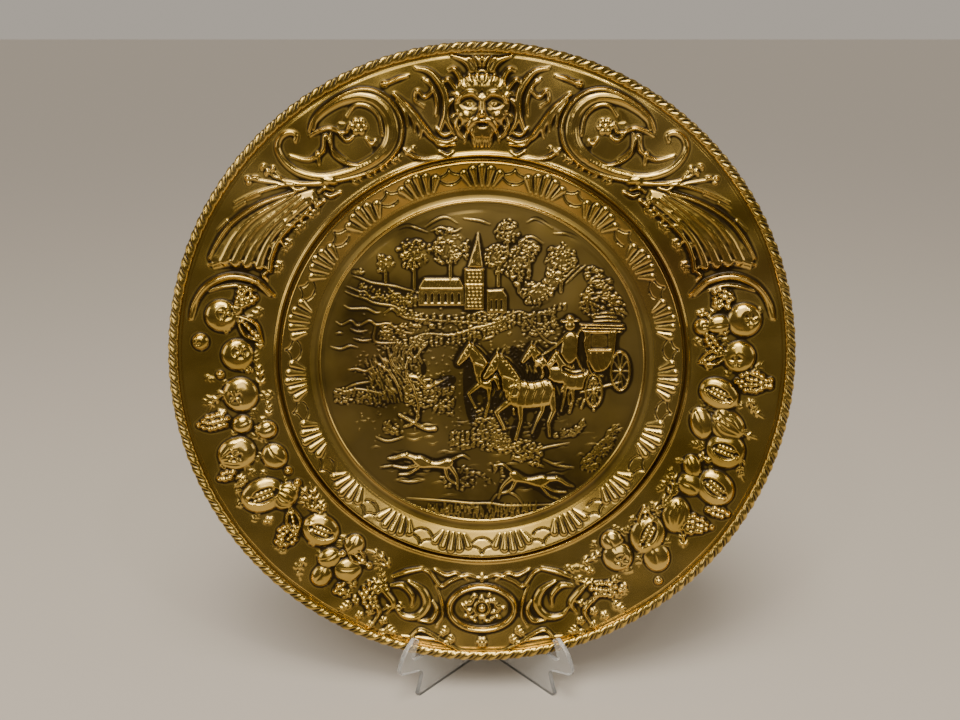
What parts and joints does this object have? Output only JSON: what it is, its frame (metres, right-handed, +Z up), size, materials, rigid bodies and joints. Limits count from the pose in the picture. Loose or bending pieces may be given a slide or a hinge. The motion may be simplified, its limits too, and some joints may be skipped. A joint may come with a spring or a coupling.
{
  "type": "decorative wall plate",
  "caption": "Large round pressed-brass plate with a raised coaching scene, shell band, fruit border and rope rim, standing on a clear two-panel easel.",
  "frame": {"origin": "on the surface that the easel stands on, under the middle of the whole part's bounding box", "axes": "+Z up, -Y towards the viewer, the way the plate's front faces, +X to the viewer's right"},
  "size_m": [0.6078, 0.111, 0.6418],
  "materials": {
    "brass": "polished, aged, darker in the recesses",
    "clear_plastic": "clear, polished"
  },
  "bodies": {
    "root": {"plate": "brass", "easel_panel_left": "clear_plastic", "easel_panel_right": "clear_plastic", "easel_hinge_post": "clear_plastic"}
  },
  "joints": []
}
